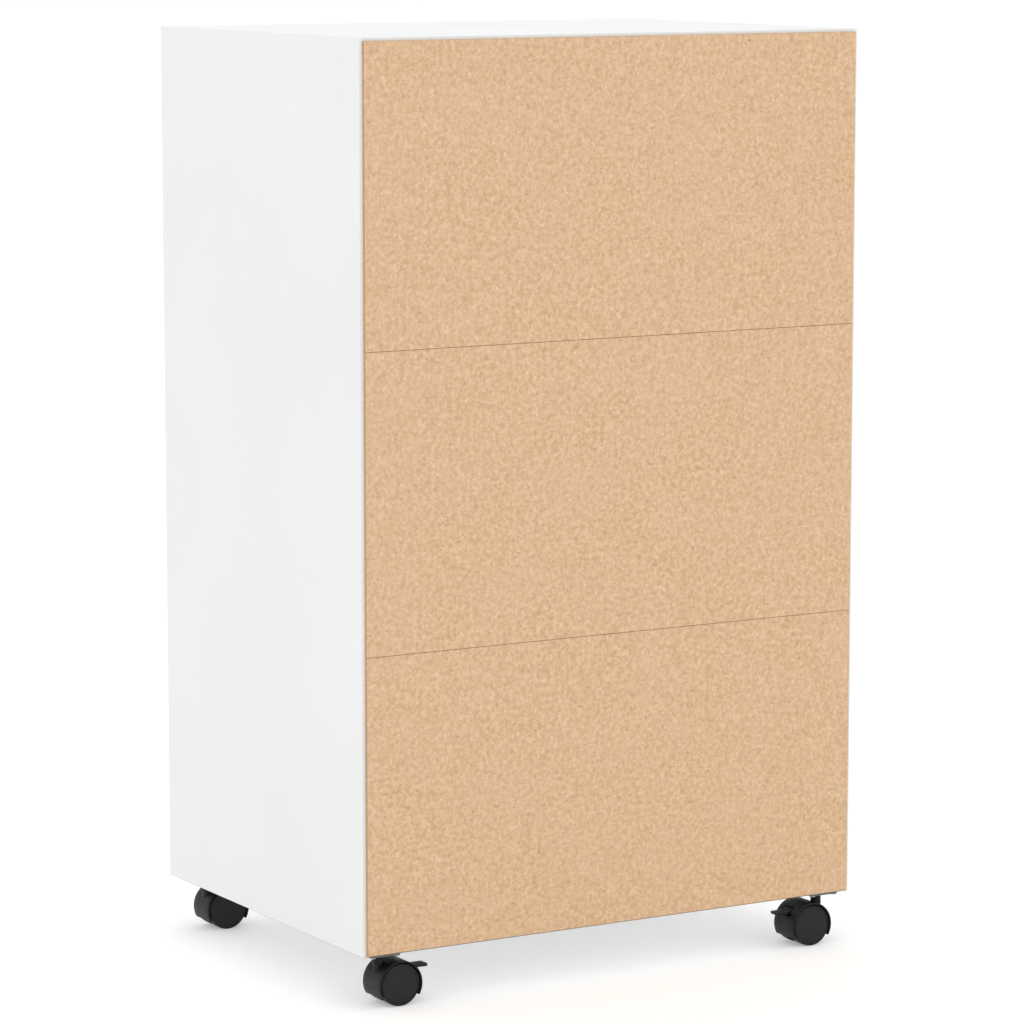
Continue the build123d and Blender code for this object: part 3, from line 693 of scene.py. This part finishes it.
def build_toe_pad():
    """The part that is trodden on: a flat tongue with rounded corners."""
    underside, top = 10.9 * MM, 13.3 * MM
    outline = in_mm(
        (16.5, 0, 0), (16.5, -4.6, 0), (20.0, -6.2, 2.0), (31.5, -6.2, 1.8),
        (31.5, 6.2, 1.8), (20.0, 6.2, 2.0), (16.5, 4.6, 0),
    )
    work = bmesh.new()
    tongue = rounded(outline)
    low_row = [work.verts.new((point.x, point.y, underside)) for point in tongue]
    high_row = [work.verts.new((point.x, point.y, top)) for point in tongue]
    bridge(work, low_row, high_row)
    work.faces.new(low_row)
    work.faces.new(high_row)
    return object_from(work, "pad", MATERIALS["brake_plastic"], 0.45 * MM)


def build_lever():
    """Brake lever: a ribbed toe pad, the arm, the pivot barrel and the shoe over the treads."""
    material = MATERIALS["brake_plastic"]
    arm_half = 2.0 * MM
    rib_half = 4.6 * MM
    pieces = [build_shoe(), build_toe_pad()]
    work = bmesh.new()
    arm = in_mm((8.0, 9.1), (14.0, 9.3), (18.5, 10.4), (18.5, 13.5), (13.0, 13.7), (8.0, 13.2))
    extrude(work, arm, -arm_half, arm_half)
    pieces.append(object_from(work, "arm", material, 0.4 * MM))
    barrel = in_mm(
        (0, -4.8, 0), (1.3, -4.8, 0.2), (1.3, -2.0, 0), (2.8, -2.0, 0.3),
        (2.8, 2.0, 0.3), (1.3, 2.0, 0), (1.3, 4.8, 0.2), (0, 4.8, 0),
    )
    work = bmesh.new()
    revolve(work, rounded(barrel, 3), (PIVOT_X, 0, PIVOT_Z), (0, 1, 0), 40)
    pieces.append(object_from(work, "pivot", material))
    for x in (23.0, 25.5, 28.0):
        work = bmesh.new()
        rib = in_mm((x - 0.5, 13.1), (x + 0.5, 13.1), (x + 0.35, 13.65), (x - 0.35, 13.65))
        extrude(work, rib, -rib_half, rib_half)
        pieces.append(object_from(work, "rib", material, 0.12 * MM))
    return join(pieces, "lever")


def place_castor_piece(obj, castor, name, node):
    """Copies a piece built about the axle to its castor; the right-hand castors trail the other way."""
    low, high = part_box(f"castor_{castor}_axle")
    middle = (Vector(low) + Vector(high)) / 2
    turned = castor.endswith("right")
    mesh = obj.data.copy()
    turn = Matrix.Rotation(math.pi if turned else 0.0, 4, "Z")
    mesh.transform(Matrix.Translation(middle) @ turn)
    copy = bpy.data.objects.new(name, mesh)
    bpy.context.collection.objects.link(copy)
    stand_in(copy, node)


def build_castors():
    """Builds one pattern of each piece and copies it to the castors that have it."""
    hoods = {True: build_hood(True), False: build_hood(False)}
    wheels = {"a": build_wheel(-1), "b": build_wheel(1)}
    lever = build_lever()
    for castor in CASTORS:
        braked = castor.startswith("rear")
        place_castor_piece(hoods[braked], castor, f"hood_{castor}", f"castor_{castor}_body")
        for side, wheel in wheels.items():
            place_castor_piece(wheel, castor, f"wheel_{castor}_{side}", f"castor_{castor}_wheel_{side}")
        if braked:
            place_castor_piece(lever, castor, f"lever_{castor}", f"castor_{castor}_brake")
    for pattern in (*hoods.values(), *wheels.values(), lever):
        bpy.data.objects.remove(pattern)


# ---------------------------------------------------------------- studio
def build_floor():
    """A pale ground that takes the shadow."""
    mesh = bpy.data.meshes.new("floor")
    work = bmesh.new()
    bmesh.ops.create_grid(work, x_segments=1, y_segments=1, size=30)
    work.to_mesh(mesh)
    work.free()
    floor = bpy.data.objects.new("floor", mesh)
    bpy.context.collection.objects.link(floor)
    s = Shader("floor", roughness=0.9, specular=0.1)
    s.set("Base Color", (0.80, 0.80, 0.80, 1.0))
    s.set("Emission Color", (1.0, 1.0, 1.0, 1.0))
    s.set("Emission Strength", 0.3)
    mesh.materials.append(s.material)


def area_light(name, place, target, size, power):
    """A square lamp aimed at a target; size in metres, power in watts."""
    data = bpy.data.lights.new(name, "AREA")
    data.shape = "SQUARE"
    data.size = size
    data.energy = power
    light = bpy.data.objects.new(name, data)
    light.location = place
    light.rotation_euler = (Vector(target) - Vector(place)).to_track_quat("-Z", "Y").to_euler()
    bpy.context.collection.objects.link(light)


def build_studio():
    """White surroundings and three weak lamps: two behind the cabinet and one in front."""
    build_floor()
    world = bpy.data.worlds.new("studio")
    world.use_nodes = True
    world.node_tree.nodes["Background"].inputs["Color"].default_value = (1, 1, 1, 1)
    world.node_tree.nodes["Background"].inputs["Strength"].default_value = 1.0
    bpy.context.scene.world = world
    middle = (0, 0, 0.42)
    area_light("key", (2.6, 2.4, 3.2), middle, 2.4, 12)
    area_light("fill", (-2.6, 3.0, 2.0), middle, 2.4, 7)
    area_light("front", (-1.5, -3.2, 2.6), middle, 2.4, 9)
    bpy.context.scene.view_settings.view_transform = "Standard"


def build_camera():
    """A long lens behind the cabinet's right side, a little above its top, looking slightly down."""
    turn = math.radians(30.56)
    pitch = math.radians(8.10)
    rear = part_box("side_panel_right")[1][1]
    data = bpy.data.cameras.new("camera")
    data.lens = 152.65
    data.sensor_width = 36.0
    camera = bpy.data.objects.new("camera", data)
    camera.location = (1.966, rear + 3.155, 0.940)
    forward = Vector((-math.sin(turn) * math.cos(pitch), -math.cos(turn) * math.cos(pitch), -math.sin(pitch)))
    camera.rotation_euler = forward.to_track_quat("-Z", "Y").to_euler()
    bpy.context.collection.objects.link(camera)
    bpy.context.scene.camera = camera


finish_cad_nodes()
build_back_boards()
build_handles()
build_castors()
build_studio()
build_camera()
